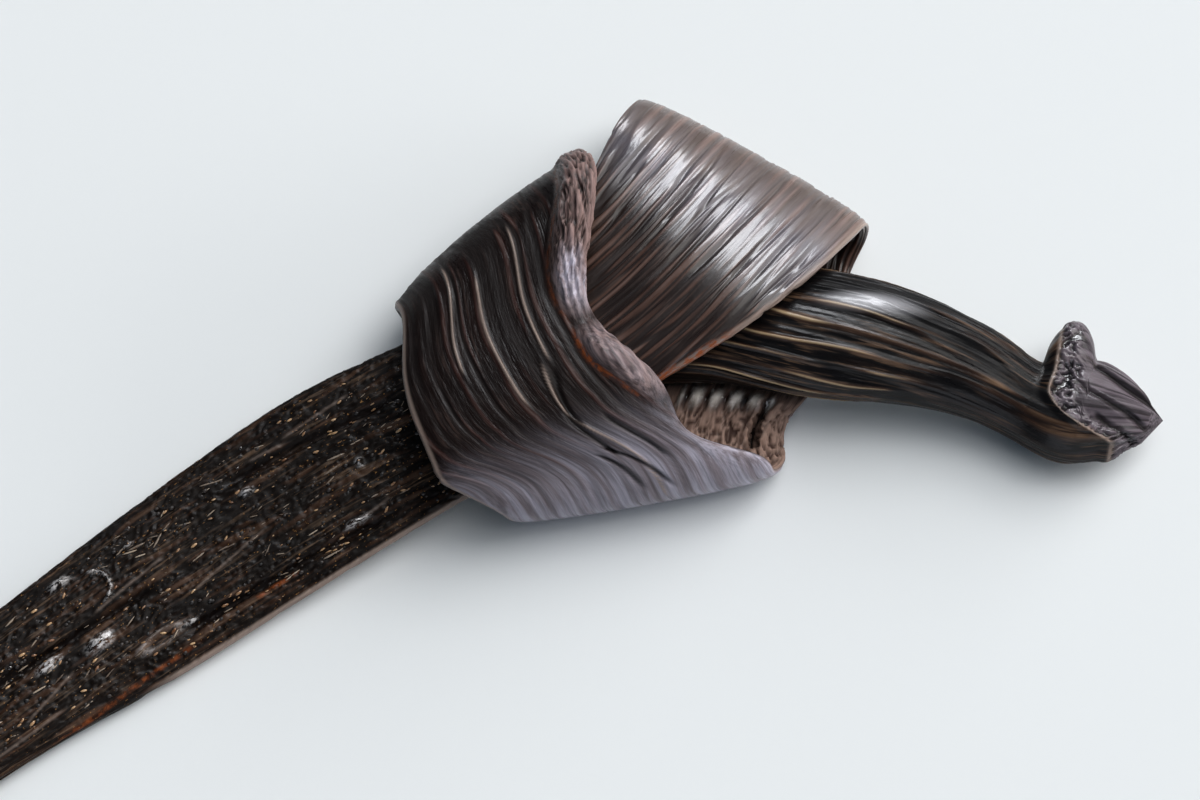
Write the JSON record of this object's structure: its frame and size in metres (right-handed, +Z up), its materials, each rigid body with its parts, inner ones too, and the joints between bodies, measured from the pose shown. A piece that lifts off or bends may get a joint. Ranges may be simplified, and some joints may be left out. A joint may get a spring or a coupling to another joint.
{
  "type": "knotted vanilla pod",
  "caption": "Long, flat, wrinkled dark brown vanilla pod tied in a loose overhand knot, with a ridged, hooked stem cap at one end and a slender tip at the other.",
  "frame": {"origin": "under the middle of the box that holds the pod, on the table it lies on", "axes": "+X towards the stem cap along the longest extent, +Y towards the back of the knot, +Z up from the table"},
  "size_m": [0.0908, 0.0544, 0.0077],
  "materials": {
    "pod_skin": "oily, wrinkled, dark brown dried skin with a soft gloss"
  },
  "bodies": {
    "root": {"vanilla_pod": "pod_skin"}
  },
  "joints": []
}
